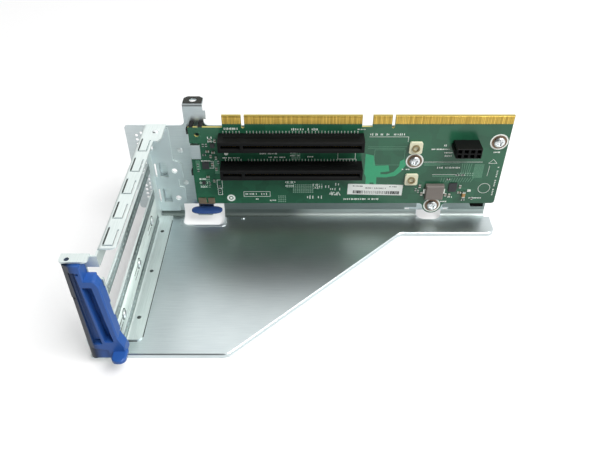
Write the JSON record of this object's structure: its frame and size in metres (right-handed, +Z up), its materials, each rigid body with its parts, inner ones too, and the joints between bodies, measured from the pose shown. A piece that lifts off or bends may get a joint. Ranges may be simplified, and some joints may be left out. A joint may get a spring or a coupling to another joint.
{
  "type": "pcie riser card cage",
  "caption": "Server riser cage: folded steel tray and bracket wall carrying a riser board with edge tongues and card slots, and a blue swinging bracket latch.",
  "frame": {"origin": "Middle of the footprint, on the plane under the tray lip that the cage stands on.", "axes": "+X runs right along the board, from the card-bracket wall; +Y runs from the open card bay to the back wall; +Z is up, towards the edge tongues."},
  "size_m": [0.243, 0.143, 0.0879],
  "materials": {
    "galvanised_steel": "galvanised sheet, fine grain",
    "zinc_hardware": "zinc-plated",
    "board_laminate": "green solder mask over glass epoxy",
    "gold_plating": "hard gold over nickel",
    "connector_black": "glass-filled nylon",
    "tinned_lead": "matt tin",
    "ferrite_core": "pressed ferrite",
    "chip_epoxy": "moulded epoxy",
    "chip_ceramic": "fired ceramic body",
    "tantalum_body": "moulded epoxy",
    "led_lens": "clear epoxy",
    "cream_insulator": "moulded insulator",
    "label_paper": "coated paper",
    "spring_bronze": "phosphor bronze strip",
    "black_nylon": "moulded nylon",
    "black_rubber": "moulded rubber",
    "touch_blue": "moulded, soft gloss",
    "black_tape": "woven damping tape"
  },
  "bodies": {
    "cage": {"base_tray": "galvanised_steel", "bracket_wall": "galvanised_steel", "wall_rivets": "zinc_hardware", "riser_board": "board_laminate", "edge_contacts_front": "gold_plating", "edge_contacts_back": "gold_plating", "socket_upper": "connector_black", "socket_lower": "connector_black", "leads_upper": "tinned_lead", "leads_lower": "tinned_lead", "power_header": "connector_black", "header_pins": "tinned_lead", "inductor_core": "ferrite_core", "inductor_terminals": "tinned_lead", "controller_chips": "chip_epoxy", "chip_capacitors": "chip_ceramic", "chip_resistors": "chip_epoxy", "tantalum_capacitor": "tantalum_body", "status_led": "led_lens", "test_socket_bases": "cream_insulator", "test_socket_shells": "gold_plating", "board_screws": "zinc_hardware", "board_standoffs": "zinc_hardware", "board_label": "label_paper", "grounding_clip": "spring_bronze", "edge_clips": "black_nylon", "board_bumper": "black_rubber", "touch_pad": "touch_blue", "hook_tape": "black_tape", "latch_pin": "zinc_hardware"},
    "latch": {"retention_latch": "touch_blue"}
  },
  "joints": [
    {"name": "latch_swing", "type": "hinge", "parent": "cage", "child": "latch", "pos_m": [-0.1165, -0.0611, 0.038], "axis": [0, 0, -1], "range_deg": [0, 100]}
  ]
}
